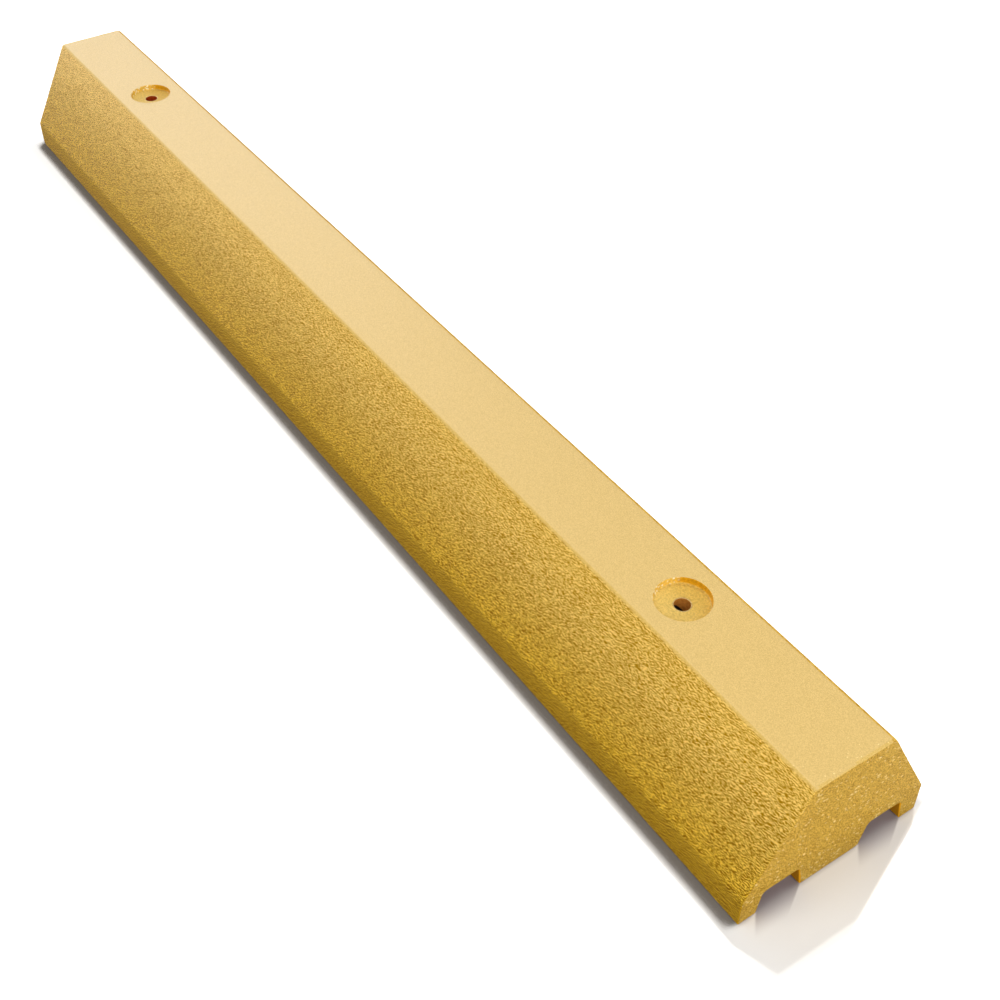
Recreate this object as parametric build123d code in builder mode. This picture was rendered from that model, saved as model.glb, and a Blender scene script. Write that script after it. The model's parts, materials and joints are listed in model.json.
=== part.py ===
"""A recycled-plastic parking block with two steel-lined anchor holes.

Sizes are in millimetres. The length runs along X, the width along Y and +Z is up, and the origin is the
middle of the base, on the ground.
"""

import os

from build123d import *

# The block as a whole
LENGTH = 1219.2  # 48 in, sawn square at both ends
WIDTH = 160.0  # across the base
HEIGHT = 109.0

# The outer faces of the cross-section
TOP_WIDTH = 68.0  # flat top, between its sharp corners
BAND_HEIGHT = 26.0  # upright band at the foot of each side, below the slope
TOP_ROUND = 5.0  # slope to top
KNUCKLE_ROUND = 7.0  # band to slope
HEEL_ROUND = 1.5  # base to band

# The two channels along the underside
LAND_WIDTH = 53.0  # flat between the channels, which the anchor holes come out of
FOOT_WIDTH = 15.5  # flat between a channel and the outer face
CHANNEL_DEPTH = 21.5
CHANNEL_DRAFT = 4.0  # how far each channel wall leans in on its way up
CHANNEL_ROUND = 4.0  # wall to ceiling
LIP_ROUND = 1.0  # wall to base

# The two anchor holes
HOLE_FROM_END = 166.0
RECESS_DIAMETER = 41.5  # takes a washer or the head of a pin
RECESS_DEPTH = 5.5
RECESS_ROUND = 1.8  # wall to floor of the recess
SLEEVE_BORE = 12.0
SLEEVE_WALL = 1.0
SLEEVE_SETBACK = 1.0  # from the ground up to the sleeve's lower end

# Places that follow from the sizes
hole_x = LENGTH / 2 - HOLE_FROM_END
sleeve_radius = SLEEVE_BORE / 2 + SLEEVE_WALL
recess_floor = HEIGHT - RECESS_DEPTH

os.makedirs("parts", exist_ok=True)

# One side of the cross-section, from the land up to the top
right_side = [
    (LAND_WIDTH / 2, 0),
    (LAND_WIDTH / 2 + CHANNEL_DRAFT, CHANNEL_DEPTH),
    (WIDTH / 2 - FOOT_WIDTH - CHANNEL_DRAFT, CHANNEL_DEPTH),
    (WIDTH / 2 - FOOT_WIDTH, 0),
    (WIDTH / 2, 0),
    (WIDTH / 2, BAND_HEIGHT),
    (TOP_WIDTH / 2, HEIGHT),
]
left_side = [(-y, z) for y, z in reversed(right_side)]

# The moulded block
with BuildPart() as block:
    with BuildSketch(Plane.YZ) as section:
        with BuildLine():
            Polyline(*right_side, *left_side, close=True)
        make_face()
        base_corners = section.vertices().group_by(Axis.Y)[0].sort_by(Axis.X)
        heels = [base_corners[0], base_corners[-1]]
        lips = base_corners[1:-1]
        fillet(heels, HEEL_ROUND)
        fillet(lips, LIP_ROUND)
        for height, radius in (
            (CHANNEL_DEPTH, CHANNEL_ROUND),
            (BAND_HEIGHT, KNUCKLE_ROUND),
            (HEIGHT, TOP_ROUND),
        ):
            fillet(section.vertices().filter_by_position(Axis.Y, height, height), radius)
    extrude(amount=LENGTH / 2, both=True)
    with Locations((-hole_x, 0, HEIGHT), (hole_x, 0, HEIGHT)):
        CounterBoreHole(sleeve_radius, RECESS_DIAMETER / 2, RECESS_DEPTH)
    floor_edges = block.edges().filter_by_position(Axis.Z, recess_floor, recess_floor)
    fillet(floor_edges.group_by(SortBy.RADIUS)[-1], RECESS_ROUND)
block.part.label = "block"
export_step(block.part, "parts/block.step")

# The steel sleeves, flush with the floor of each recess and clear of the ground
for side, x in (("left", -hole_x), ("right", hole_x)):
    with BuildPart() as sleeve:
        with BuildSketch(Plane((x, 0, SLEEVE_SETBACK))):
            Circle(sleeve_radius)
            Circle(SLEEVE_BORE / 2, mode=Mode.SUBTRACT)
        extrude(amount=recess_floor - SLEEVE_SETBACK)
    sleeve.part.label = f"anchor_sleeve_{side}"
    export_step(sleeve.part, f"parts/anchor_sleeve_{side}.step")
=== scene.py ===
# %% [markdown]
# # A plastic parking block
#
# A parking block is a low bar that stops a car's wheels at the end of a bay. This one is moulded in
# yellow recycled plastic, with one cross-section from end to end, and sawn to length. Two recessed holes
# in its top, each lined with a thin steel tube, take the pins that hold it to the ground.
#
# The CAD model already holds the sizes. This lesson gives the block its looks: wrinkled sides, a smooth
# top, sawn ends, rough recesses and rusty tubes.

import json
import math

import bpy
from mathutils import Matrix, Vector


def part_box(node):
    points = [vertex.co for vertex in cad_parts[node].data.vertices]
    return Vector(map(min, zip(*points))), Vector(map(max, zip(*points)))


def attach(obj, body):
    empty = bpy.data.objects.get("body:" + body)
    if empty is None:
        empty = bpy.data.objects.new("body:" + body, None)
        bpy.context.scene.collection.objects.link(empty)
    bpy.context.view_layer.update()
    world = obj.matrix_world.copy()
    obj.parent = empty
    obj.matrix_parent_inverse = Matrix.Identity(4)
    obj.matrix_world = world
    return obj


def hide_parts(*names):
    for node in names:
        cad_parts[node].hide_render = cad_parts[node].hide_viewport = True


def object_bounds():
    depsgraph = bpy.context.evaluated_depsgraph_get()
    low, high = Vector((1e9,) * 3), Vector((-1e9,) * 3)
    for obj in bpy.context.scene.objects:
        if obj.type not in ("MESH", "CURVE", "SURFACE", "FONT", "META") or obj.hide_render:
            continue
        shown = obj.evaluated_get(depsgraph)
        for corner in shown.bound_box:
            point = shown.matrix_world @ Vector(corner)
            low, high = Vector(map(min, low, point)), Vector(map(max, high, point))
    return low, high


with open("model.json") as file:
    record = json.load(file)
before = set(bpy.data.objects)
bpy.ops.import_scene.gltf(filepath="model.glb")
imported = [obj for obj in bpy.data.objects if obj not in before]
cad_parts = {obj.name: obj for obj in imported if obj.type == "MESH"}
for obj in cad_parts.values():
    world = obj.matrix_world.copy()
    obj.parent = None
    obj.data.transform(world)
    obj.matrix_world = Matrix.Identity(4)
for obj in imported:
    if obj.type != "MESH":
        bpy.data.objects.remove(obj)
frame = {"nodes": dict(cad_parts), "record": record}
cad_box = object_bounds()
scene = bpy.context.scene
MM = 0.001

print("CAD nodes:", sorted(frame["nodes"]))

# %% [markdown]
# ## Sizes
#
# Sizes could be typed in again, but lengths, hole places and hole sizes that come from the CAD model
# can't drift from it. Only the corners of the cross-section are written again, because the outline
# further down needs them as points.

# %% Sizes from the model
block_low, block_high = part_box("block")
LENGTH = block_high.x - block_low.x
WIDTH = block_high.y - block_low.y
HEIGHT = block_high.z

mounts = {mount["name"]: mount for mount in frame["record"]["mounts"]}
HOLE_X = mounts["right_anchor_recess"]["pos_m"][0]
RECESS_RADIUS = mounts["right_anchor_recess"]["dims"]["r_mm"] * MM
BORE_RADIUS = mounts["right_anchor_hole"]["dims"]["r_mm"] * MM

sleeve_low, sleeve_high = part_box("anchor_sleeve_right")
SLEEVE_RADIUS = (sleeve_high.x - sleeve_low.x) / 2
RECESS_DEPTH = HEIGHT - sleeve_high.z  # the sleeves end flush with the floors

print(f"block {LENGTH:.4f} x {WIDTH:.4f} x {HEIGHT:.4f} m, holes at x = {HOLE_X:.4f}")

# %% Sizes of the cross-section
TOP_WIDTH = 68.0 * MM  # flat top, between its sharp corners
BAND_HEIGHT = 26.0 * MM  # upright band at the foot of each side, below the slope
LAND_WIDTH = 53.0 * MM  # flat between the two channels of the underside
FOOT_WIDTH = 15.5 * MM  # flat between a channel and the outer face
CHANNEL_DEPTH = 21.5 * MM
CHANNEL_DRAFT = 4.0 * MM  # how far each channel wall leans in on its way up

channel_inner = LAND_WIDTH / 2
channel_outer = WIDTH / 2 - FOOT_WIDTH

print(f"channels {channel_inner:.4f} to {channel_outer:.4f} m from the middle")

# %% [markdown]
# ## Camera
#
# The photograph looks down on the block from above one end, so the near end is large and the far end
# small. A camera can be placed by eye, but it is quicker to match the block's corners. A 50 mm lens,
# turned 56 degrees round the block and tilted 43 degrees down, puts every corner within a pixel or two of
# its place.

# %% Place the camera
LENS = 50.33  # mm, on a sensor 36 mm wide
VIEW_TURN = math.radians(55.95)  # from looking along +Y, round to the right
VIEW_TILT = math.radians(42.88)
VIEW_DISTANCE = 1.2942
VIEW_AIM = Vector((0.1274, 0.0634, -0.0754))  # the point in the middle of the picture

towards_camera = Vector((
    math.sin(VIEW_TURN) * math.cos(VIEW_TILT),
    -math.cos(VIEW_TURN) * math.cos(VIEW_TILT),
    math.sin(VIEW_TILT),
))
camera = bpy.data.objects.new("camera", bpy.data.cameras.new("camera"))
camera.data.lens = LENS
camera.data.sensor_width = 36
camera.location = VIEW_AIM + towards_camera * VIEW_DISTANCE
camera.rotation_euler = (math.pi / 2 - VIEW_TILT, 0, VIEW_TURN)
scene.collection.objects.link(camera)
scene.camera = camera

print("camera at", [round(value, 3) for value in camera.location])

# %% [markdown]
# ## Helpers for node trees
#
# Materials and Geometry Nodes are both trees of nodes, and a tree is easier to read when each node takes
# one line. These helpers add a node, feed its inputs with numbers or with other nodes' outputs, and hand
# back the output that the next line needs. The same Math, Map Range and Noise nodes work in both kinds of
# tree.

# %% Add a node
def feed(tree, node, inputs):
    """Give a node's inputs a number, a colour or another node's output each."""
    for key, value in inputs.items():
        if isinstance(value, bpy.types.NodeSocket):
            tree.links.new(value, node.inputs[key])
        else:
            node.inputs[key].default_value = value


def add(tree, kind, inputs=None, **settings):
    """Add a node, set its properties and feed its inputs."""
    node = tree.nodes.new(kind)
    for name, value in settings.items():
        setattr(node, name, value)
    feed(tree, node, inputs or {})
    return node


# %% Numbers and colours
def calc(tree, operation, *values):
    """The result of one Math node."""
    return add(tree, "ShaderNodeMath", dict(enumerate(values)), operation=operation).outputs[0]


def fade(tree, value, begin, end, first=0.0, last=1.0):
    """A smooth change from first to last while a value goes from begin to end."""
    inputs = {"Value": value, "From Min": begin, "From Max": end, "To Min": first, "To Max": last}
    return add(tree, "ShaderNodeMapRange", inputs, interpolation_type="SMOOTHSTEP").outputs["Result"]


def blend(tree, share, first, second):
    """A colour between two colours."""
    inputs = {0: share, 6: first, 7: second}
    return add(tree, "ShaderNodeMix", inputs, data_type="RGBA").outputs[2]


def noise(tree, place, grain, detail=2.0, roughness=0.5, distortion=0.0):
    """Noise between 0 and 1, with about this many grains to the metre."""
    inputs = {
        "Vector": place,
        "Scale": grain,
        "Detail": detail,
        "Roughness": roughness,
        "Distortion": distortion,
    }
    return add(tree, "ShaderNodeTexNoise", inputs).outputs[0]


# %% Vectors
def vector(tree, x=0.0, y=0.0, z=0.0):
    """A vector from three numbers."""
    return add(tree, "ShaderNodeCombineXYZ", {0: x, 1: y, 2: z}).outputs[0]


def split(tree, place):
    """The X, Y and Z of a vector."""
    return add(tree, "ShaderNodeSeparateXYZ", {0: place}).outputs


def scale(tree, value, factor):
    """A vector or a colour times a number."""
    return add(tree, "ShaderNodeVectorMath", {0: value, "Scale": factor}, operation="SCALE").outputs[0]


# %% [markdown]
# ## Studio
#
# The block lies on white, in soft light. Its shadow tells where the main lamp stood: a narrow strip along
# the left foot and a wider patch before the near end mean a lamp high up, behind the block and to the
# right. One lamp can't do everything, so the work is shared. A sun with a small disc gives the shadow its
# clear outline, and is kept out of reflections. Softboxes light the faces that look away from the sun,
# and the world gives the even light of a white room. White cards, like those that photographers stand
# beside smooth things, light nothing and only show as a gleam.

# %% World
SKY_LIGHT = 0.31


def seen_directly(tree):
    """1 for what the camera or a reflection sees, and 0 for light on its way to the block."""
    path = add(tree, "ShaderNodeLightPath").outputs
    seen = calc(tree, "MAXIMUM", path["Is Camera Ray"], path["Is Glossy Ray"])
    return calc(tree, "MAXIMUM", seen, path["Is Transmission Ray"])


scene.view_settings.view_transform = "Standard"
scene.world = bpy.data.worlds.new("studio")
scene.world.use_nodes = True
tree = scene.world.node_tree
strength = fade(tree, seen_directly(tree), 0.0, 1.0, SKY_LIGHT, 1.0)
feed(tree, tree.nodes["Background"], {"Color": (1, 1, 1, 1), "Strength": strength})

print("sky light:", SKY_LIGHT)

# %% Sun
SUN_FROM = Vector((-0.32, 0.38, 0.87))
SUN_LIGHT = 1.0
SUN_SPREAD = math.radians(1.5)


def hang(name, lamp, place):
    """Put a lamp somewhere and turn it towards the block."""
    holder = bpy.data.objects.new(name, lamp)
    holder.location = place
    holder.rotation_euler = place.to_track_quat("Z", "Y").to_euler()
    scene.collection.objects.link(holder)
    return holder


sun = bpy.data.lights.new("sun", "SUN")
sun.energy = SUN_LIGHT
sun.angle = SUN_SPREAD
hang("sun", sun, SUN_FROM).visible_glossy = False

print("sun:", SUN_LIGHT, "watts on a square metre")

# %% Softboxes and cards
SOFTBOXES = {  # place, power in watts and width in metres
    "key": (Vector((2.0, -0.6, 1.8)), 22.0, 1.4),
    "front": (Vector((5.0, 0.1, 1.1)), 85.0, 2.0),
    "top": (Vector((0.2, -1.3, 2.4)), 25.0, 1.6),
    "side": (Vector((-2.3, -1.1, 0.3)), 17.5, 1.4),
}
CARDS = {  # the same for the white cards
    "back": (Vector((-2.4, 0.7, 1.4)), 13.0, 1.8),
    "left": (Vector((-2.3, -1.1, 0.5)), 175.0, 1.4),
}


def hang_softbox(name, place, power, width):
    """Put a square lamp somewhere and turn it towards the block."""
    softbox = bpy.data.lights.new(name, "AREA")
    softbox.energy = power
    softbox.size = width
    return hang(name, softbox, place)


for name, values in SOFTBOXES.items():
    hang_softbox(name + "_softbox", *values)
for name, values in CARDS.items():
    hang_softbox(name + "_card", *values).visible_diffuse = False

print("lamps:", sorted(lamp.name for lamp in bpy.data.lights))

# %% [markdown]
# ## Floor
#
# A white floor in a white room would throw so much light back that the wrinkles went flat. So the floor
# is white only where the camera or a reflection sees it, and grey for the light that bounces off it.
#
# The lamps give the shadow its outline, and the paint gives it the tones that it has in the photograph.
# Ambient Occlusion measures how much of the view from a point is blocked close by. Here it looks up and
# to the right, so it finds the strip along the left foot, where the floor is darkest. Object coordinates
# find the rest: shade in the mouths of the channels, painted shade in a warm grey before the near end,
# which deepens the sun's shadow there, and pure white further away.

# %% Lay the floor
FLOOR_REACH = 6.0
FLOOR_DROP = 0.2 * MM  # so that it doesn't lie in the same plane as the base

floor_mesh = bpy.data.meshes.new("floor")
square = ((-1, -1), (1, -1), (1, 1), (-1, 1))
corners = [(x * FLOOR_REACH, y * FLOOR_REACH, -FLOOR_DROP) for x, y in square]
floor_mesh.from_pydata(corners, [], [(0, 1, 2, 3)])
floor = bpy.data.objects.new("floor", floor_mesh)
scene.collection.objects.link(floor)

print("floor:", 2 * FLOOR_REACH, "m square")

# %% Shade beside the block
FLOOR_SEEN = (0.98, 0.98, 0.98, 1)
FLOOR_FRONT_SHADE = (0.87, 0.855, 0.83, 1)  # painted shade before the near end, deepening the sun's shadow there
STRIP_SHADE = (0.18, 0.165, 0.15, 1)
STRIP_REACH = 13.5 * MM
OPEN_SIDE = (0.2, 0.6, 0.7)  # where Ambient Occlusion looks

floor_paint = bpy.data.materials.new("floor_white")
floor_paint.use_nodes = True
floor_mesh.materials.append(floor_paint)
tree = floor_paint.node_tree
tree.nodes.clear()
at = split(tree, add(tree, "ShaderNodeTexCoord").outputs["Object"])
beyond_end = calc(tree, "SUBTRACT", at["X"], cad_box[1].x)
seen = blend(tree, fade(tree, beyond_end, -20 * MM, 5 * MM), FLOOR_SEEN, FLOOR_FRONT_SHADE)

inputs = {"Distance": STRIP_REACH, "Normal": vector(tree, *OPEN_SIDE)}
openness = add(tree, "ShaderNodeAmbientOcclusion", inputs, samples=8).outputs["AO"]
closed_in = fade(tree, openness, 0.84, 0.60)
in_strip = calc(tree, "MULTIPLY", closed_in, fade(tree, beyond_end, 4 * MM, -4 * MM))
seen = blend(tree, in_strip, seen, STRIP_SHADE)

print("strip of shade up to", STRIP_REACH / MM, "mm wide")

# %% Shade in and before the channels
CHANNEL_SHADE = (0.29, 0.245, 0.25, 1)
CHANNEL_SHADE_LENGTH = 15 * MM  # before the near end
CHANNEL_SHADE_LEAN = 1.3  # metres to the left for each metre before the end
CHANNEL_SHADE_TAPER = 0.4  # metres narrower on each side for each metre before the end

channel_middle = (channel_inner + channel_outer) / 2
channel_half = (channel_outer - channel_inner) / 2
reach = calc(tree, "MAXIMUM", beyond_end, 0)
leaning = calc(tree, "ABSOLUTE", calc(tree, "MULTIPLY_ADD", reach, CHANNEL_SHADE_LEAN, at["Y"]))
from_middle = calc(tree, "ABSOLUTE", calc(tree, "SUBTRACT", leaning, channel_middle))
past_wall = calc(tree, "SUBTRACT", from_middle, channel_half)
past_edge = calc(tree, "MULTIPLY_ADD", reach, CHANNEL_SHADE_TAPER, past_wall)
behind = calc(tree, "SUBTRACT", cad_box[0].x, at["X"])
in_channel = fade(tree, past_edge, 1.5 * MM, -1.5 * MM)
in_channel = calc(tree, "MULTIPLY", in_channel, fade(tree, behind, 2 * MM, -6 * MM))
in_channel = calc(tree, "MULTIPLY", in_channel, fade(tree, beyond_end, CHANNEL_SHADE_LENGTH, -7 * MM))
seen = blend(tree, in_channel, seen, CHANNEL_SHADE)

print(f"channel shade {2 * channel_half:.4f} m wide")

# %% White further away
FLOOR_FAR = (1.5, 1.5, 1.5, 1)  # more than white, to make up for weaker light
FLOOR_BOUNCE = (0.35, 0.35, 0.35, 1)
PATCH_SLANT = 2.5  # metres to the left for each metre before the end, along the right edge of the painted shade

beyond_side = calc(tree, "SUBTRACT", calc(tree, "ABSOLUTE", at["Y"]), cad_box[1].y)
slanting = calc(tree, "MULTIPLY_ADD", reach, PATCH_SLANT, at["Y"])
past_patch = calc(tree, "SUBTRACT", slanting, cad_box[1].y)
far = fade(tree, past_patch, 3 * MM, 18 * MM)
for distance, begin, end in ((beyond_end, 42, 60), (beyond_side, 15, 60), (behind, 0, 40)):
    far = calc(tree, "MAXIMUM", far, fade(tree, distance, begin * MM, end * MM))
seen = blend(tree, far, seen, FLOOR_FAR)
colour = blend(tree, seen_directly(tree), FLOOR_BOUNCE, seen)
paint = add(tree, "ShaderNodeBsdfDiffuse", {"Color": colour}).outputs[0]
add(tree, "ShaderNodeOutputMaterial", {"Surface": paint})

print("floor paint:", len(tree.nodes), "nodes")

# %% [markdown]
# ## Wrinkles
#
# The mould leaves the sides of the block wrinkled like leather. The wrinkles are about a millimetre wide,
# too fine for the mesh, so they belong to the material. A picture of leather would show seams and blur
# close up. Noise does neither, and its grains look like wrinkles once they are drawn out along the block
# and lean a little. Real wrinkles fade into the smooth top, so the top gets a trace of them too.

# %% Start a material
def start(name):
    """A new material, its node tree, its shader and its Object coordinates."""
    material = bpy.data.materials.new(name)
    material.use_nodes = True
    tree = material.node_tree
    place = add(tree, "ShaderNodeTexCoord").outputs["Object"]
    return material, tree, tree.nodes["Principled BSDF"], place


def bumped(tree, height, depth):
    """Surface directions that follow a height, where a height of 1 stands for this depth."""
    return add(tree, "ShaderNodeBump", {"Height": height, "Strength": 1.0, "Distance": depth}).outputs[0]


# %% Wrinkles
WRINKLE_GRAIN = 1320
WRINKLE_STRETCH = 2.4
WRINKLE_LEAN = math.radians(4)


def wrinkles(tree, place):
    """Noise grains that are drawn out along the block, and climb a little towards +X."""
    inputs = {"Vector": place, "Rotation": (0, -WRINKLE_LEAN, 0), "Scale": (WRINKLE_STRETCH, 1, 1)}
    leaning = add(tree, "ShaderNodeMapping", inputs, vector_type="TEXTURE").outputs[0]
    return noise(tree, leaning, WRINKLE_GRAIN, detail=0, distortion=0.2)


# %% [markdown]
# ## Smooth top
#
# The top is nearly smooth, and painted paler than the sides for the sheen on it. Recycled plastic is
# never one even colour, so fine noise speckles it. Near both cuts, crumbs from the saw stick to it, and
# are painted pale as glints. Dots can be scattered with instances, but in a material a Voronoi texture is
# lighter: it fills space with cells, and only the middle of each cell is coloured. The edges of the sides
# need the colour of the top as well, so it is a function.

# %% Colour of the top
# Painted sheen: the top's colours are paler than the sides', with noise speckling between them.
TOP_SPECKLE_AND_SHEEN_COLOURS = ((0.56, 0.366, 0.09, 1), (0.725, 0.503, 0.163, 1))
# Crumbs, painted pale as glints.
CRUMB_GLINT_COLOUR = (1.0, 0.81, 0.37, 1)
CRUMB_REACH = 40 * MM  # how far from a cut the crumbs are larger


def crumbs(tree, place, count, size):
    """1 on small crumbs, of which about this many lie in a metre, and 0 between them."""
    middle = add(tree, "ShaderNodeTexVoronoi", {"Vector": place, "Scale": count}).outputs["Distance"]
    return fade(tree, calc(tree, "DIVIDE", middle, size), 1.0, 0.5)


def top_colour_and_sheen(tree, place):
    """The finely speckled top, painted pale as a sheen, with crumbs painted as glints near the cuts, and
    the speckle itself.
    """
    speckle = noise(tree, place, 1700, detail=2)
    colour = blend(tree, fade(tree, speckle, 0.35, 0.65), *TOP_SPECKLE_AND_SHEEN_COLOURS)
    along = calc(tree, "ABSOLUTE", split(tree, place)["X"])
    size = fade(tree, along, LENGTH / 2 - CRUMB_REACH, LENGTH / 2, 0.04, 0.13)
    return blend(tree, crumbs(tree, place, 260, size), colour, CRUMB_GLINT_COLOUR), speckle


# %% Smooth plastic
SMOOTH_RELIEF = 0.15 * MM

smooth, tree, shader, place = start("smooth_plastic")
colour, speckle = top_colour_and_sheen(tree, place)
height = calc(tree, "MULTIPLY_ADD", wrinkles(tree, place), 0.5, speckle)
feed(tree, shader, {
    "Base Color": colour,
    "Normal": bumped(tree, height, SMOOTH_RELIEF),
    "Roughness": 0.34,
    "Specular IOR Level": 0.9,
})

print("smooth plastic:", len(tree.nodes), "nodes")

# %% [markdown]
# ## Wrinkled sides
#
# The upper side of a wrinkle catches the light, and its underside lies in the shade. A bump alone shows
# this too weakly, because it turns the light but casts no shadow, so this light and shade are painted
# into the colour as well. The noise is read a second time a little higher up. Where it falls on the way,
# the surface looks up and is painted pale, as lit, and where it rises, the surface looks down and is
# painted deep, as shaded. A mask, stored on the mesh further down, says how strong the wrinkles are at
# each point.
#
# The other tones follow the level. The colours are painted darker towards the ground, and darkest on the
# upright band, as shade. The channels of the underside have no wrinkles, and are painted orange for the
# light that goes from wall to wall in them. The pale top runs out over its rounded edges and over the
# worn edges of the cuts. It runs further on the left as painted light, and a darker line just under the
# top is painted shade.

# %% Strokes of the wrinkles, in painted light and shade
WRINKLE_RELIEF = 1.6 * MM
STROKE_STEP = (0, 0, 0.5 * MM)  # from the first reading of the noise up to the second
STROKE_GAIN = 18.0

wrinkled, tree, shader, place = start("wrinkled_plastic")
at = split(tree, place)
wrinkle = add(tree, "ShaderNodeAttribute", attribute_name="wrinkle").outputs["Fac"]
ridges = wrinkles(tree, place)
above = add(tree, "ShaderNodeVectorMath", {0: place, 1: STROKE_STEP}).outputs[0]
# Painted light and shade: paler where the surface looks up, deeper where it looks down.
falling = calc(tree, "SUBTRACT", ridges, wrinkles(tree, above))
strokes = calc(tree, "MULTIPLY", calc(tree, "MULTIPLY", falling, STROKE_GAIN), wrinkle)

print("wrinkles:", round(1 / WRINKLE_GRAIN / MM, 2), "mm wide")

# %% Colours of the sides
LIT_SIDE_COLOURS = ((0.84, 0.515, 0.034, 1), (0.965, 0.65, 0.145, 1))  # lit sides of the wrinkles, low down and high up; darker low down is painted shade
SHADED_SIDE_COLOURS = ((0.29, 0.13, 0.0002, 1), (0.415, 0.197, 0.0006, 1))
# Painted bounce light: the orange of the channels.
CHANNEL_BOUNCE_COLOUR = (0.74, 0.33, 0.010, 1)
SPECKLE_SHARE = 0.4

level = at["Z"]
# Painted shade: the upright band stays near the shaded colour, and a line just under the top is darker.
above_band = fade(tree, level, BAND_HEIGHT - 2.5 * MM, BAND_HEIGHT + 1.0 * MM)
middle = calc(tree, "MULTIPLY", above_band, fade(tree, level, 45 * MM, 95 * MM, 0.57, 0.5))
shade_under_top = fade(tree, level, HEIGHT - 3.0 * MM, HEIGHT - 0.5 * MM, 0.57, 0.3)
middle = calc(tree, "MINIMUM", middle, shade_under_top)
speckle = calc(tree, "SUBTRACT", noise(tree, place, 1500, detail=1), 0.5)
middle = calc(tree, "MULTIPLY_ADD", speckle, SPECKLE_SHARE, middle)
lit_share = calc(tree, "ADD", strokes, middle)

# Painted shade: the colours are darker towards the ground.
high = fade(tree, level, 20 * MM, 92 * MM)
side = blend(tree, lit_share, blend(tree, high, *SHADED_SIDE_COLOURS), blend(tree, high, *LIT_SIDE_COLOURS))
# Painted bounce light: the channels are orange, for light going from wall to wall.
in_channel = calc(tree, "LESS_THAN", wrinkle, 0.01)
side = blend(tree, in_channel, side, CHANNEL_BOUNCE_COLOUR)

print("strokes and colours:", len(tree.nodes), "nodes")

# %% Pale edges and wrinkled plastic
PALE_EDGE = (2.0 * MM, 0.5 * MM)  # how far the pale top runs down on the left and on the right; further on the left is painted light
RAGGED = 0.8 * MM  # how far the wrinkles break up its edge

# Painted light on the left edge and painted shade on the right one.
low_left, low_right = (HEIGHT - reach_down for reach_down in PALE_EDGE)
edge_level = fade(tree, at["Y"], -20 * MM, 20 * MM, low_left, low_right)
ragged_level = calc(tree, "MULTIPLY_ADD", ridges, RAGGED, level)
pale_edge = fade(tree, ragged_level, edge_level, calc(tree, "ADD", edge_level, 2.0 * MM))

across = calc(tree, "ABSOLUTE", at["Y"])
inside = fade(tree, across, TOP_WIDTH / 2 - 2.5 * MM, TOP_WIDTH / 2 - 3.5 * MM)
worn_edge = calc(tree, "MULTIPLY", inside, fade(tree, level, HEIGHT - 1.4 * MM, HEIGHT - 0.7 * MM))
pale = calc(tree, "MAXIMUM", pale_edge, worn_edge)
relief = calc(tree, "MULTIPLY", ridges, wrinkle)
feed(tree, shader, {
    "Base Color": blend(tree, pale, side, top_colour_and_sheen(tree, place)[0]),
    "Normal": bumped(tree, relief, WRINKLE_RELIEF),
    "Roughness": fade(tree, level, BAND_HEIGHT - 4 * MM, BAND_HEIGHT + 4 * MM, 0.85, 0.7),
    "Specular IOR Level": 0.05,
})

print("wrinkled plastic:", len(tree.nodes), "nodes")

# %% [markdown]
# ## Sawn ends
#
# A saw smears soft plastic and tears small crumbs loose. The ends are matt and finely grained, and the
# light that the crumbs catch is painted as short pale flecks along the cut. Meshes for so many flecks
# would be heavy, so they are the crumbs of the top again, drawn out along the cut. They come in patches,
# so coarse noise sets their size. Towards the ground, where less light gets, the colour is painted a
# little darker, as shade.

# %% Sawn plastic
SAWN_COLOURS = ((0.32, 0.15, 0.002, 1), (0.87, 0.55, 0.09, 1))
FLECK_GLINT_COLOUR = (1.0, 0.78, 0.30, 1)
FLECK_SCALE = (1, 0.55, 1)  # a smaller scale across the block draws the flecks out that way
SAWN_RELIEF = 0.5 * MM

sawn, tree, shader, place = start("sawn_plastic")
grain = noise(tree, place, 1300, detail=3, roughness=0.7)
along_cut = add(tree, "ShaderNodeMapping", {"Vector": place, "Scale": FLECK_SCALE}).outputs[0]
size = fade(tree, noise(tree, place, 160), 0.35, 0.65, 0.06, 0.36)
flecks = crumbs(tree, along_cut, 420, size)
colour = blend(tree, fade(tree, grain, 0.38, 0.62), *SAWN_COLOURS)
# Painted glints: the crumbs are pale where they catch the light.
colour = blend(tree, flecks, colour, FLECK_GLINT_COLOUR)
shade = fade(tree, split(tree, place)["Z"], 0.0, 45 * MM, 0.84, 1.0)
height = calc(tree, "MULTIPLY_ADD", flecks, 0.6, grain)
feed(tree, shader, {
    "Base Color": scale(tree, colour, shade),
    "Normal": bumped(tree, height, SAWN_RELIEF),
    "Roughness": 0.55,
    "Specular IOR Level": 0.05,
})

print("sawn plastic:", len(tree.nodes), "nodes")

# %% [markdown]
# ## Drilled recesses
#
# The recesses are cut after moulding. Their floors are rough, and painted darker on the right as shade.
# Their walls are painted orange for the light that goes from one yellow wall to the next in there. The
# wall on the sun's side is painted deepest in colour, as its own shade, and the rest of the wall has
# crumbs with painted sparkle. Each could be a material of its own, but the direction that a face looks in
# tells floor from wall and one wall from the other, so one material does for all.

# %% Drilled plastic
RECESS_FLOOR_LIT_SHADED_TONES = ((0.70, 0.48, 0.125, 1), (0.62, 0.39, 0.075, 1))  # lit on the left and painted shade on the right
LIT_WALL_TONES = ((0.80, 0.50, 0.08, 1), (1.0, 0.90, 0.58, 1))  # lit wall between the crumbs, and painted sparkle on them
SHADED_WALL_TONES = ((0.85, 0.44, 0.02, 1), (0.64, 0.31, 0.008, 1))  # painted shade and bounce light, looking towards -X and towards +X
DRILLED_RELIEF = 0.7 * MM

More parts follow.
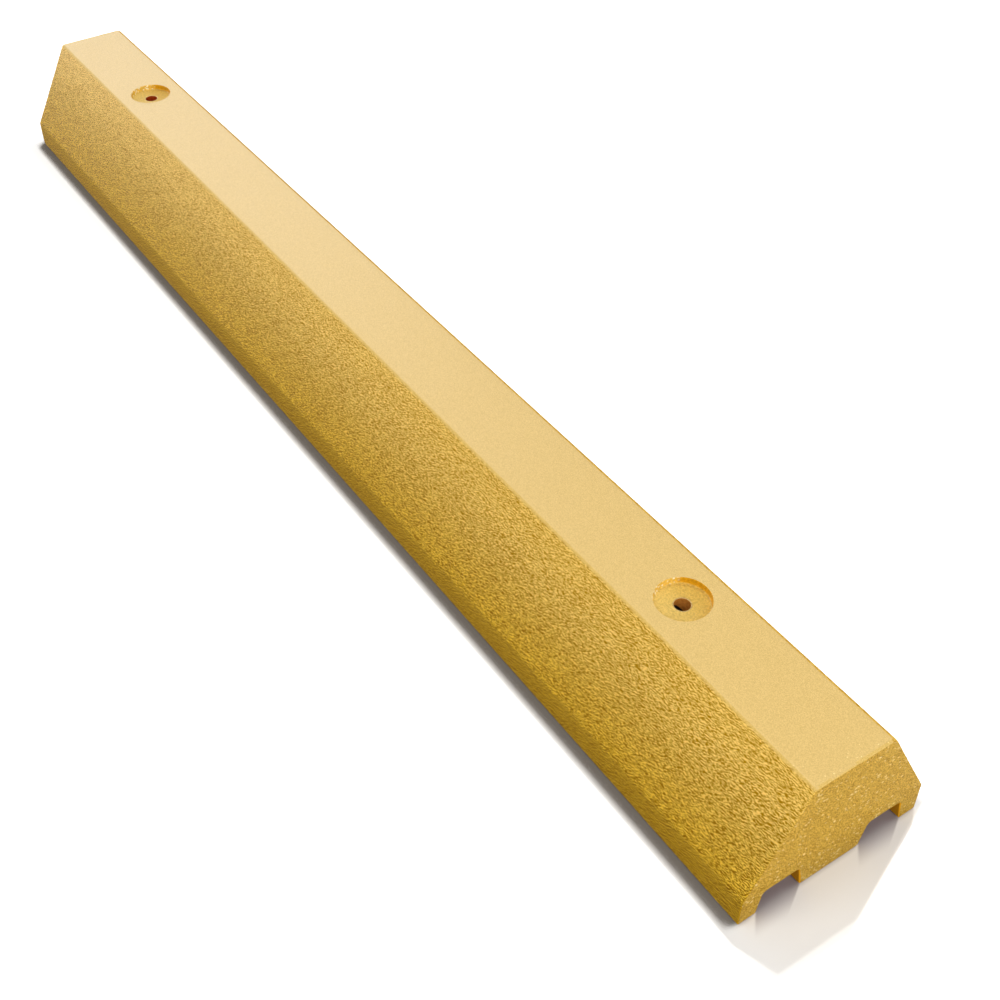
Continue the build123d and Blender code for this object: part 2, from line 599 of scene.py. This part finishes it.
drilled, tree, shader, place = start("drilled_plastic")
facing = split(tree, add(tree, "ShaderNodeTexCoord").outputs["Normal"])
grain = noise(tree, place, 600, detail=3, roughness=0.6)
floor_light_and_shade = blend(tree, fade(tree, split(tree, place)["Y"], -15 * MM, 15 * MM), *RECESS_FLOOR_LIT_SHADED_TONES)
lit_tone = blend(tree, crumbs(tree, place, 420, 0.45), *LIT_WALL_TONES)
shaded_tone = blend(tree, fade(tree, facing["X"], -0.5, 0.6), *SHADED_WALL_TONES)
wall_light_and_shade = blend(tree, fade(tree, facing["Y"], -0.35, -0.65), lit_tone, shaded_tone)
tone = blend(tree, fade(tree, facing["Z"], 0.97, 0.3), floor_light_and_shade, wall_light_and_shade)
feed(tree, shader, {
    "Base Color": scale(tree, tone, fade(tree, grain, 0.3, 0.7, 0.84, 1.14)),
    "Normal": bumped(tree, grain, DRILLED_RELIEF),
    "Roughness": 0.45,
    "Specular IOR Level": 0.12,
})

print("drilled plastic:", len(tree.nodes), "nodes")

# %% [markdown]
# ## Steel
#
# The tubes are plain steel. Inside they have rusted, one brown and the other red, and deep down they are
# painted dark as shade, higher on one side. Both tubes share a material, which tells them apart by the
# sign of X. Their ends, cut and rubbed by pins, are still bare.

# %% Rusted steel
RED_RUST = ((0.30, 0.03, 0.002, 1), (0.42, 0.05, 0.003, 1))  # on the left, dark and light
BROWN_RUST = ((0.38, 0.14, 0.02, 1), (0.51, 0.20, 0.03, 1))  # on the right
BORE_SHADE_COLOUR = (0.01, 0.007, 0.006, 1)
BORE_SHADE_DEPTH = 11.5 * MM  # where the painted shade starts, below the end of the tube
BORE_SHADE_SLOPE = 0.9
RUST_RELIEF = 0.2 * MM

rusted, tree, shader, place = start("rusted_steel")
at = split(tree, place)
grain = noise(tree, place, 500, detail=4, roughness=0.6)
on_right = calc(tree, "GREATER_THAN", at["X"], 0)
dark_rust, light_rust = (blend(tree, on_right, *pair) for pair in zip(RED_RUST, BROWN_RUST))
rust = blend(tree, fade(tree, grain, 0.3, 0.7), dark_rust, light_rust)

# Painted shade deep in the tube, higher on one side.
outwards = calc(tree, "SUBTRACT", calc(tree, "ABSOLUTE", at["X"]), HOLE_X)
along = calc(tree, "MULTIPLY", outwards, calc(tree, "SIGN", at["X"]))
slant = calc(tree, "ADD", along, at["Y"])
bore_shade_top = calc(tree, "MULTIPLY_ADD", slant, -BORE_SHADE_SLOPE, sleeve_high.z - BORE_SHADE_DEPTH)
bore_shade = fade(tree, calc(tree, "SUBTRACT", at["Z"], bore_shade_top), 0.7 * MM, -0.7 * MM)
feed(tree, shader, {
    "Base Color": blend(tree, bore_shade, rust, BORE_SHADE_COLOUR),
    "Normal": bumped(tree, grain, RUST_RELIEF),
    "Roughness": 0.8,
    "Specular IOR Level": 0.1,
})

print("rusted steel:", len(tree.nodes), "nodes")

# %% Bare steel
BARE_COLOURS = ((0.44, 0.29, 0.09, 1), (0.60, 0.42, 0.15, 1))

bare, tree, shader, place = start("bare_steel")
grain = noise(tree, place, 900, detail=3)
feed(tree, shader, {
    "Base Color": blend(tree, fade(tree, grain, 0.35, 0.65), *BARE_COLOURS),
    "Roughness": fade(tree, grain, 0.3, 0.7, 0.4, 0.6),
    "Metallic": 0.5,
})

print("bare steel:", len(tree.nodes), "nodes")

# %% [markdown]
# ## Outline
#
# The block has one cross-section from end to end. A box could be cut and bevelled to that shape, but a
# closed outline that is swept along a line gets there in one step. The outline is a curve with a point at
# each corner, and each point's radius says how round that corner is. Half of it is written down, and the
# other half is its mirror image.

# %% Outline
TOP_ROUND = 5.0 * MM  # slope to top
KNUCKLE_ROUND = 7.0 * MM  # band to slope
HEEL_ROUND = 1.5 * MM  # base to band
CHANNEL_ROUND = 4.0 * MM  # wall to ceiling of a channel
LIP_ROUND = 1.0 * MM  # wall of a channel to base

right_side = [
    (channel_inner, 0, LIP_ROUND),
    (channel_inner + CHANNEL_DRAFT, CHANNEL_DEPTH, CHANNEL_ROUND),
    (channel_outer - CHANNEL_DRAFT, CHANNEL_DEPTH, CHANNEL_ROUND),
    (channel_outer, 0, LIP_ROUND),
    (WIDTH / 2, 0, HEEL_ROUND),
    (WIDTH / 2, BAND_HEIGHT, KNUCKLE_ROUND),
    (TOP_WIDTH / 2, HEIGHT, TOP_ROUND),
]
left_side = [(-y, z, rounding) for y, z, rounding in reversed(right_side)]
outline = bpy.data.curves.new("outline", "CURVE")
outline.dimensions = "3D"
spline = outline.splines.new("POLY")
spline.points.add(len(right_side + left_side) - 1)
spline.use_cyclic_u = True
for point, (y, z, rounding) in zip(spline.points, right_side + left_side):
    point.co = (y, z, 0, 1)
    point.radius = rounding

print("outline corners:", len(spline.points))

# %% [markdown]
# ## Geometry Nodes from a script
#
# A Geometry Nodes tree is a recipe with named inputs. One helper starts a tree with an input for each
# value that it will get. Another runs it on a curve or mesh and keeps the result as a plain mesh, because
# a finished piece carries no live modifier. The rest are short names for steps that come back: where a
# point is, where a face looks, a vector of some length, and a coat of a material.

# %% Start a tree and run it
def new_tree(name, values):
    """A Geometry Nodes tree with an input named for each value, its input sockets and its output node."""
    tree = bpy.data.node_groups.new(name, "GeometryNodeTree")
    tree.interface.new_socket("Geometry", in_out="INPUT", socket_type="NodeSocketGeometry")
    for label, value in values.items():
        kind = "NodeSocketFloat" if isinstance(value, float) else "NodeSocketMaterial"
        tree.interface.new_socket(label, in_out="INPUT", socket_type=kind)
    tree.interface.new_socket("Geometry", in_out="OUTPUT", socket_type="NodeSocketGeometry")
    return tree, tree.nodes.new("NodeGroupInput").outputs, tree.nodes.new("NodeGroupOutput")


def grow(name, source, tree, values):
    """Run a tree on a curve or mesh with these values, and keep the result as a plain mesh object."""
    seed = bpy.data.objects.new(name + "_seed", source)
    scene.collection.objects.link(seed)
    modifier = seed.modifiers.new("nodes", "NODES")
    modifier.node_group = tree
    for item in tree.interface.items_tree:
        if item.name in values:
            modifier[item.identifier] = values[item.name]
    depsgraph = bpy.context.evaluated_depsgraph_get()
    mesh = bpy.data.meshes.new_from_object(seed.evaluated_get(depsgraph))
    mesh.name = name
    bpy.data.objects.remove(seed)
    piece = bpy.data.objects.new(name, mesh)
    scene.collection.objects.link(piece)
    return piece


# %% Steps that come back
def position(tree):
    """Where a point is."""
    return add(tree, "GeometryNodeInputPosition").outputs[0]


def point_at(tree):
    """A point's X, Y and Z."""
    return split(tree, position(tree))


def looking(tree):
    """The X, Y and Z of the direction that a point or face looks in."""
    return split(tree, add(tree, "GeometryNodeInputNormal").outputs[0])


def stretch(tree, direction, length):
    """A vector of this length in a direction."""
    unit = add(tree, "ShaderNodeVectorMath", {0: direction}, operation="NORMALIZE").outputs[0]
    return scale(tree, unit, length)


def coat(tree, body, material, faces=True):
    """Give a body's faces, or some of them, a material."""
    inputs = {"Geometry": body, "Selection": faces, "Material": material}
    return add(tree, "GeometryNodeSetMaterial", inputs).outputs[0]


# %% [markdown]
# ## From outline to bar
#
# Fillet Curve rounds each corner by its point's radius. The sides then need many points for the uneven
# skin to bend, and the underside few. Even steps would waste most of the points, so each run between two
# points is cut into steps of one length or the other. The path is a straight line whose points crowd
# together at both ends, where the sawn edges are worn round.

# %% Cut the outline into steps
def fine_outline(tree, size):
    """The outline with round corners, finely cut on the skin and coarsely elsewhere."""
    rounds = add(tree, "GeometryNodeInputRadius").outputs[0]
    inputs = {"Curve": size["Geometry"], "Count": 6, "Radius": rounds, "Limit Radius": True}
    rounded = add(tree, "GeometryNodeFilletCurve", inputs, mode="POLY").outputs[0]

    here = position(tree)
    index = add(tree, "GeometryNodeInputIndex").outputs[0]
    points = add(tree, "GeometryNodeAttributeDomainSize", {0: rounded}, component="CURVE")
    following = calc(tree, "MODULO", calc(tree, "ADD", index, 1), points.outputs["Point Count"])
    inputs = {"Value": here, "Index": following}
    neighbour = add(tree, "GeometryNodeFieldAtIndex", inputs, data_type="FLOAT_VECTOR", domain="POINT")
    there = neighbour.outputs[0]
    run = add(tree, "ShaderNodeVectorMath", {0: here, 1: there}, operation="DISTANCE").outputs["Value"]
    middle = add(tree, "ShaderNodeVectorMath", {0: here, 1: there}, operation="ADD").outputs[0]
    level = calc(tree, "MULTIPLY", split(tree, middle)["Y"], 0.5)

    above_band = calc(tree, "GREATER_THAN", level, size["Band Height"])
    below_flat = calc(tree, "LESS_THAN", level, calc(tree, "SUBTRACT", size["Height"], 0.01 * MM))
    on_skin = calc(tree, "MULTIPLY", above_band, below_flat)
    step = fade(tree, on_skin, 0.0, 1.0, size["Under Step"], size["Skin Step"])
    cuts = calc(tree, "FLOOR", calc(tree, "DIVIDE", run, step))
    return add(tree, "GeometryNodeSubdivideCurve", {"Curve": rounded, "Cuts": cuts}).outputs[0]


# %% Crowd the path
def from_end(tree, size):
    """How far a point lies from the nearer end."""
    half = calc(tree, "MULTIPLY", size["Length"], 0.5)
    return calc(tree, "SUBTRACT", half, calc(tree, "ABSOLUTE", point_at(tree)["X"]))


def crowded_path(tree, size):
    """A line from end to end, whose points lie closer together the nearer they are to an end."""
    half = calc(tree, "MULTIPLY", size["Length"], 0.5)
    inputs = {"Start": vector(tree, calc(tree, "MULTIPLY", half, -1)), "End": vector(tree, half)}
    line = add(tree, "GeometryNodeCurvePrimitiveLine", inputs).outputs[0]
    rings = calc(tree, "CEIL", calc(tree, "DIVIDE", size["Length"], size["Skin Step"]))
    inputs = {"Curve": line, "Count": rings}
    path = add(tree, "GeometryNodeResampleCurve", inputs, mode="COUNT").outputs[0]

    inward = from_end(tree, size)
    reach = calc(tree, "ADD", inward, size["End Crowding"])
    crowded = calc(tree, "DIVIDE", calc(tree, "POWER", inward, 2), reach)
    full = calc(tree, "DIVIDE", calc(tree, "ADD", half, size["End Crowding"]), half)
    x = calc(tree, "SUBTRACT", half, calc(tree, "MULTIPLY", crowded, full))
    x = calc(tree, "MULTIPLY", x, calc(tree, "SIGN", point_at(tree)["X"]))
    inputs = {"Geometry": path, "Position": vector(tree, x)}
    return add(tree, "GeometryNodeSetPosition", inputs).outputs[0]


# %% Sweep the outline
def sweep(tree, size):
    """The outline swept along the path, tilted so that its top is up, with both ends closed."""
    inputs = {"Curve": crowded_path(tree, size), "Tilt": math.pi}
    path = add(tree, "GeometryNodeSetCurveTilt", inputs).outputs[0]
    inputs = {"Curve": path, "Profile Curve": fine_outline(tree, size), "Fill Caps": True}
    return add(tree, "GeometryNodeCurveToMesh", inputs).outputs[0]


# %% [markdown]
# ## Wrinkled skin and worn ends
#
# The coarser unevenness of the skin is real shape. A Displace modifier would move the points both ways,
# but here noise pushes them in, never out, so the block keeps its size. A mask limits it to the outer
# faces, where it starts softly below the top edge and is weaker on the upright band. Both sawn edges are
# worn round, more in some places than in others.

# %% Where the skin is wrinkled
def below_top(tree, size):
    """How far a point lies below the top."""
    return calc(tree, "SUBTRACT", size["Height"], point_at(tree)["Z"])


def wrinkle_mask(tree, size):
    """How wrinkled the skin is at a point, from 0 to 1."""
    half_width = calc(tree, "MULTIPLY", size["Width"], 0.5)
    inset = calc(tree, "SUBTRACT", half_width, calc(tree, "ABSOLUTE", point_at(tree)["Y"]))
    over_band = calc(tree, "SUBTRACT", point_at(tree)["Z"], size["Band Height"])
    on_band = calc(tree, "LESS_THAN", inset, 1.0 * MM)
    outside = calc(tree, "MAXIMUM", on_band, calc(tree, "GREATER_THAN", over_band, 0))

    depth = below_top(tree, size)
    upper = fade(tree, depth, 0.05 * MM, 2.0 * MM, 0.04, 0.17)
    lower = fade(tree, depth, 2.0 * MM, 45 * MM, 0.0, 0.83)
    strength = calc(tree, "MULTIPLY", outside, calc(tree, "ADD", upper, lower))
    return calc(tree, "MULTIPLY", strength, fade(tree, over_band, -4 * MM, 1 * MM, 0.4, 1.0))


# %% Push the points in
def round_off(tree, radius, distance):
    """How far in a side lies, at a distance from the face that a round of this radius joins it to."""
    lack = calc(tree, "MAXIMUM", calc(tree, "SUBTRACT", radius, distance), 0)
    rest = calc(tree, "SUBTRACT", calc(tree, "POWER", radius, 2), calc(tree, "POWER", lack, 2))
    return calc(tree, "SUBTRACT", radius, calc(tree, "SQRT", calc(tree, "MAXIMUM", rest, 0)))


def roughen(tree, size, body):
    """Unevenness in the skin and a small ragged round at both ends, all of it inwards."""
    place = position(tree)
    ragged = fade(tree, noise(tree, place, size["Ragged Grain"], detail=2), 0.3, 0.7, 0.4, 1.0)
    rounding = calc(tree, "MULTIPLY", size["End Round"], ragged)
    worn = round_off(tree, rounding, from_end(tree, size))
    uneven = calc(tree, "MULTIPLY", noise(tree, place, size["Relief Grain"], detail=1), size["Relief"])
    inset = calc(tree, "MULTIPLY_ADD", uneven, wrinkle_mask(tree, size), worn)

    outwards = looking(tree)
    across = vector(tree, 0.0, outwards["Y"], outwards["Z"])
    offset = stretch(tree, across, calc(tree, "MULTIPLY", inset, -1))
    return add(tree, "GeometryNodeSetPosition", {"Geometry": body, "Offset": offset}).outputs[0]


# %% [markdown]
# ## Holes
#
# Each hole is a wide flat recess with a bore in its floor. A swept outline can't have holes in its top,
# so both are cut out afterwards with Mesh Boolean, by cylinders that are instanced on two points. The
# recess cutter isn't a plain cylinder: its rim flares, its foot is round, and noise makes its wall as
# rough as a real one.

# %% Shape the recess cutter
RIM_HEIGHT = 0.7 * MM
RIM_FLARE = 0.3 * MM
WALL_ROUGHNESS = 0.5 * MM


def from_axis(tree, size):
    """The vector from the axis of the nearer hole to a point."""
    at = point_at(tree)
    middle = calc(tree, "MULTIPLY", calc(tree, "SIGN", at["X"]), size["Hole X"])
    return vector(tree, calc(tree, "SUBTRACT", at["X"], middle), at["Y"])


def rough_recess(tree, size, cutter):
    """Give the recess cutter a flared rim, a round foot and a rough wall."""
    depth = below_top(tree, size)
    flare = fade(tree, depth, RIM_HEIGHT, 0.0, -RIM_FLARE, 0.0)
    foot = round_off(tree, size["Recess Round"], calc(tree, "SUBTRACT", size["Recess Depth"], depth))
    uneven = calc(tree, "SUBTRACT", noise(tree, position(tree), 350, detail=3), 0.5)
    rough = calc(tree, "MULTIPLY", uneven, WALL_ROUGHNESS)
    change = calc(tree, "ADD", calc(tree, "SUBTRACT", flare, foot), rough)
    offset = stretch(tree, from_axis(tree, size), change)
    return add(tree, "GeometryNodeSetPosition", {"Geometry": cutter, "Offset": offset}).outputs[0]


# %% Make the cutters
CUTTER_ABOVE = 5 * MM  # how far the recess cutter stands out of the top


def cutters(tree, size):
    """A recess cutter and a bore cutter, each at both hole places."""
    depth = calc(tree, "ADD", size["Recess Depth"], CUTTER_ABOVE)
    inputs = {"Vertices": 96, "Side Segments": 30, "Radius": size["Recess Radius"], "Depth": depth}
    wide = add(tree, "GeometryNodeMeshCylinder", inputs).outputs["Mesh"]
    upper_end = calc(tree, "ADD", size["Height"], CUTTER_ABOVE)
    middle = calc(tree, "SUBTRACT", upper_end, calc(tree, "MULTIPLY", depth, 0.5))
    inputs = {"Geometry": wide, "Translation": vector(tree, z=middle)}
    wide = add(tree, "GeometryNodeTransform", inputs).outputs[0]
    long = calc(tree, "MULTIPLY", size["Height"], 3)
    inputs = {"Vertices": 48, "Radius": size["Bore Radius"], "Depth": long}
    narrow = add(tree, "GeometryNodeMeshCylinder", inputs).outputs["Mesh"]

    first = vector(tree, calc(tree, "MULTIPLY", size["Hole X"], -1))
    apart = vector(tree, calc(tree, "MULTIPLY", size["Hole X"], 2))
    inputs = {"Count": 2, "Start Location": first, "Offset": apart}
    places = add(tree, "GeometryNodeMeshLine", inputs).outputs[0]
    pairs = []
    for shape in (wide, narrow):
        inputs = {"Points": places, "Instance": shape}
        copies = add(tree, "GeometryNodeInstanceOnPoints", inputs).outputs[0]
        pairs.append(add(tree, "GeometryNodeRealizeInstances", {0: copies}).outputs[0])
    return pairs


# %% Cut the holes
def drill(tree, size, body):
    """Cut a recess and a bore at both hole places."""
    recesses, bores = cutters(tree, size)
    for cutter in (rough_recess(tree, size, recesses), bores):
        inputs = {"Mesh 1": body, "Mesh 2": cutter}
        cut = add(tree, "GeometryNodeMeshBoolean", inputs, operation="DIFFERENCE", solver="MANIFOLD")
        body = cut.outputs["Mesh"]
    return body


# %% [markdown]
# ## Finishes on the faces
#
# The mask for the wrinkles is stored on the points, where the material of the sides reads it. Faces could
# be picked by hand for the other materials, but a rule still holds when a size changes. All faces start
# with the material of the sides. The flat top gets the smooth one, which runs a little way onto the
# rounds beside it, the faces at the very ends get the sawn one, and the faces sunk below the top round a
# hole get the drilled one. All faces are shaded smooth, apart from edges that are really sharp.

# %% Store the mask
def store_mask(tree, size, body):
    """Store on each point how wrinkled it is."""
    inputs = {"Geometry": body, "Name": "wrinkle", "Value": wrinkle_mask(tree, size)}
    stored = add(tree, "GeometryNodeStoreNamedAttribute", inputs, data_type="FLOAT", domain="POINT")
    return stored.outputs[0]


# %% Choose the faces
def top_faces(tree, size):
    """1 on the flat top and on the smooth upper part of its rounds, which is wider on the left as painted
    light.
    """
    depth = below_top(tree, size)
    flat = calc(tree, "LESS_THAN", depth, 0.02 * MM)
    across = point_at(tree)["Y"]
    reach = fade(tree, across, -20 * MM, 20 * MM, 0.25 * MM, 0.1 * MM)
    round_start = calc(tree, "MULTIPLY_ADD", size["Top Width"], 0.5, -3 * MM)
    on_round = calc(tree, "GREATER_THAN", calc(tree, "ABSOLUTE", across), round_start)
    smooth_round = calc(tree, "MULTIPLY", on_round, calc(tree, "LESS_THAN", depth, reach))
    return calc(tree, "MAXIMUM", flat, smooth_round)


def end_faces(tree, size):
    """1 on the two sawn ends."""
    square = calc(tree, "GREATER_THAN", calc(tree, "ABSOLUTE", looking(tree)["X"]), 0.99)
    at_end = calc(tree, "LESS_THAN", from_end(tree, size), 0.05 * MM)
    return calc(tree, "MULTIPLY", square, at_end)


def recess_faces(tree, size):
    """1 on the walls and floors of the recesses."""
    axis = from_axis(tree, size)
    radius = add(tree, "ShaderNodeVectorMath", {0: axis}, operation="LENGTH").outputs["Value"]
    near = calc(tree, "LESS_THAN", radius, calc(tree, "ADD", size["Recess Radius"], 0.6 * MM))
    sunk = calc(tree, "GREATER_THAN", below_top(tree, size), 0.05 * MM)
    high = calc(tree, "GREATER_THAN", point_at(tree)["Z"], size["Band Height"])
    return calc(tree, "MULTIPLY", calc(tree, "MULTIPLY", near, sunk), high)


# %% Shade and finish
SHARP_ANGLE = math.radians(35)


def finish(tree, size, body):
    """Shade the faces, and end in Realize Instances and the finishes."""
    body = add(tree, "GeometryNodeSetShadeSmooth", {"Geometry": body}, domain="FACE").outputs[0]
    angle = add(tree, "GeometryNodeInputMeshEdgeAngle").outputs["Unsigned Angle"]
    sharp = calc(tree, "GREATER_THAN", angle, SHARP_ANGLE)
    inputs = {"Geometry": body, "Selection": sharp, "Shade Smooth": False}
    body = add(tree, "GeometryNodeSetShadeSmooth", inputs, domain="EDGE").outputs[0]
    body = add(tree, "GeometryNodeRealizeInstances", {0: body}).outputs[0]
    body = coat(tree, body, size["Wrinkled"])
    for faces, label in ((top_faces, "Smooth"), (end_faces, "Sawn"), (recess_faces, "Drilled")):
        body = coat(tree, body, size[label], faces(tree, size))
    return body


# %% [markdown]
# ## The block
#
# With the steps written, the whole tree is five lines. Its inputs are the block's sizes, how fine the
# mesh is, how uneven the skin is, and the four finishes. The numbers could be written into the nodes, but
# as inputs they have names, and another block needs only other values.

# %% Make the block
block_inputs = {
    "Length": LENGTH,
    "Width": WIDTH,
    "Height": HEIGHT,
    "Top Width": TOP_WIDTH,
    "Band Height": BAND_HEIGHT,
    "Skin Step": 2.5 * MM,
    "Under Step": 12.0 * MM,
    "End Crowding": 8.0 * MM,
    "End Round": 1.2 * MM,
    "Ragged Grain": 160.0,
    "Relief": 0.3 * MM,
    "Relief Grain": 150.0,
    "Hole X": HOLE_X,
    "Recess Radius": RECESS_RADIUS,
    "Recess Depth": RECESS_DEPTH,
    "Recess Round": 1.8 * MM,
    "Bore Radius": SLEEVE_RADIUS,
    "Smooth": smooth,
    "Wrinkled": wrinkled,
    "Sawn": sawn,
    "Drilled": drilled,
}
tree, size, result = new_tree("parking block", block_inputs)
body = sweep(tree, size)
for step in (roughen, drill, store_mask, finish):
    body = step(tree, size, body)
feed(tree, result, {"Geometry": body})

block = grow("block_skin", outline, tree, block_inputs)
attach(block, "root")
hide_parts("block")

triangles = sum(len(face.vertices) - 2 for face in block.data.polygons)
print("block:", len(block.data.vertices), "points,", triangles, "triangles")

# %% [markdown]
# ## Steel sleeves
#
# A sleeve is a length of thin tube. It could be a hollow cylinder, but its cut edges are slightly round.
# So the section of its wall, a tall narrow rectangle with rounded corners, is swept round a circle. Both
# sleeves come from one tree and differ only in their place. Faces that look up or down are bare, and the
# rest rusted.

# %% Tree for the sleeves
sleeve_inputs = {
    "Bore Radius": BORE_RADIUS,
    "Wall": SLEEVE_RADIUS - BORE_RADIUS,
    "Bottom": sleeve_low.z,
    "Top": sleeve_high.z,
    "Edge Round": 0.3 * MM,
    "Place": 0.0,
    "Rusted": rusted,
    "Bare": bare,
}
tree, size, result = new_tree("anchor sleeve", sleeve_inputs)
radius = calc(tree, "MULTIPLY_ADD", size["Wall"], 0.5, size["Bore Radius"])
inputs = {"Resolution": 64, "Radius": radius}
circle = add(tree, "GeometryNodeCurvePrimitiveCircle", inputs).outputs["Curve"]
tall = calc(tree, "SUBTRACT", size["Top"], size["Bottom"])
inputs = {"Width": size["Wall"], "Height": tall}
wall = add(tree, "GeometryNodeCurvePrimitiveQuadrilateral", inputs).outputs[0]
inputs = {"Curve": wall, "Count": 4, "Radius": size["Edge Round"], "Limit Radius": True}
wall = add(tree, "GeometryNodeFilletCurve", inputs, mode="POLY").outputs[0]
tube = add(tree, "GeometryNodeCurveToMesh", {"Curve": circle, "Profile Curve": wall}).outputs[0]
middle = calc(tree, "MULTIPLY", calc(tree, "ADD", size["Top"], size["Bottom"]), 0.5)
inputs = {"Geometry": tube, "Translation": vector(tree, size["Place"], 0.0, middle)}
tube = add(tree, "GeometryNodeTransform", inputs).outputs[0]
tube = add(tree, "GeometryNodeSetShadeSmooth", {"Geometry": tube}, domain="FACE").outputs[0]
tube = add(tree, "GeometryNodeRealizeInstances", {0: tube}).outputs[0]
cut_faces = calc(tree, "GREATER_THAN", calc(tree, "ABSOLUTE", looking(tree)["Z"]), 0.3)
tube = coat(tree, coat(tree, tube, size["Rusted"]), size["Bare"], cut_faces)
feed(tree, result, {"Geometry": tube})

print("sleeve tree:", len(tree.nodes), "nodes")

# %% Make the sleeves
for side, x in (("left", -HOLE_X), ("right", HOLE_X)):
    node = "anchor_sleeve_" + side
    seed = bpy.data.meshes.new(node + "_seed")
    sleeve = grow(node + "_tube", seed, tree, {**sleeve_inputs, "Place": x})
    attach(sleeve, "root")
    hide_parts(node)
    print(sleeve.name, len(sleeve.data.polygons), "faces")
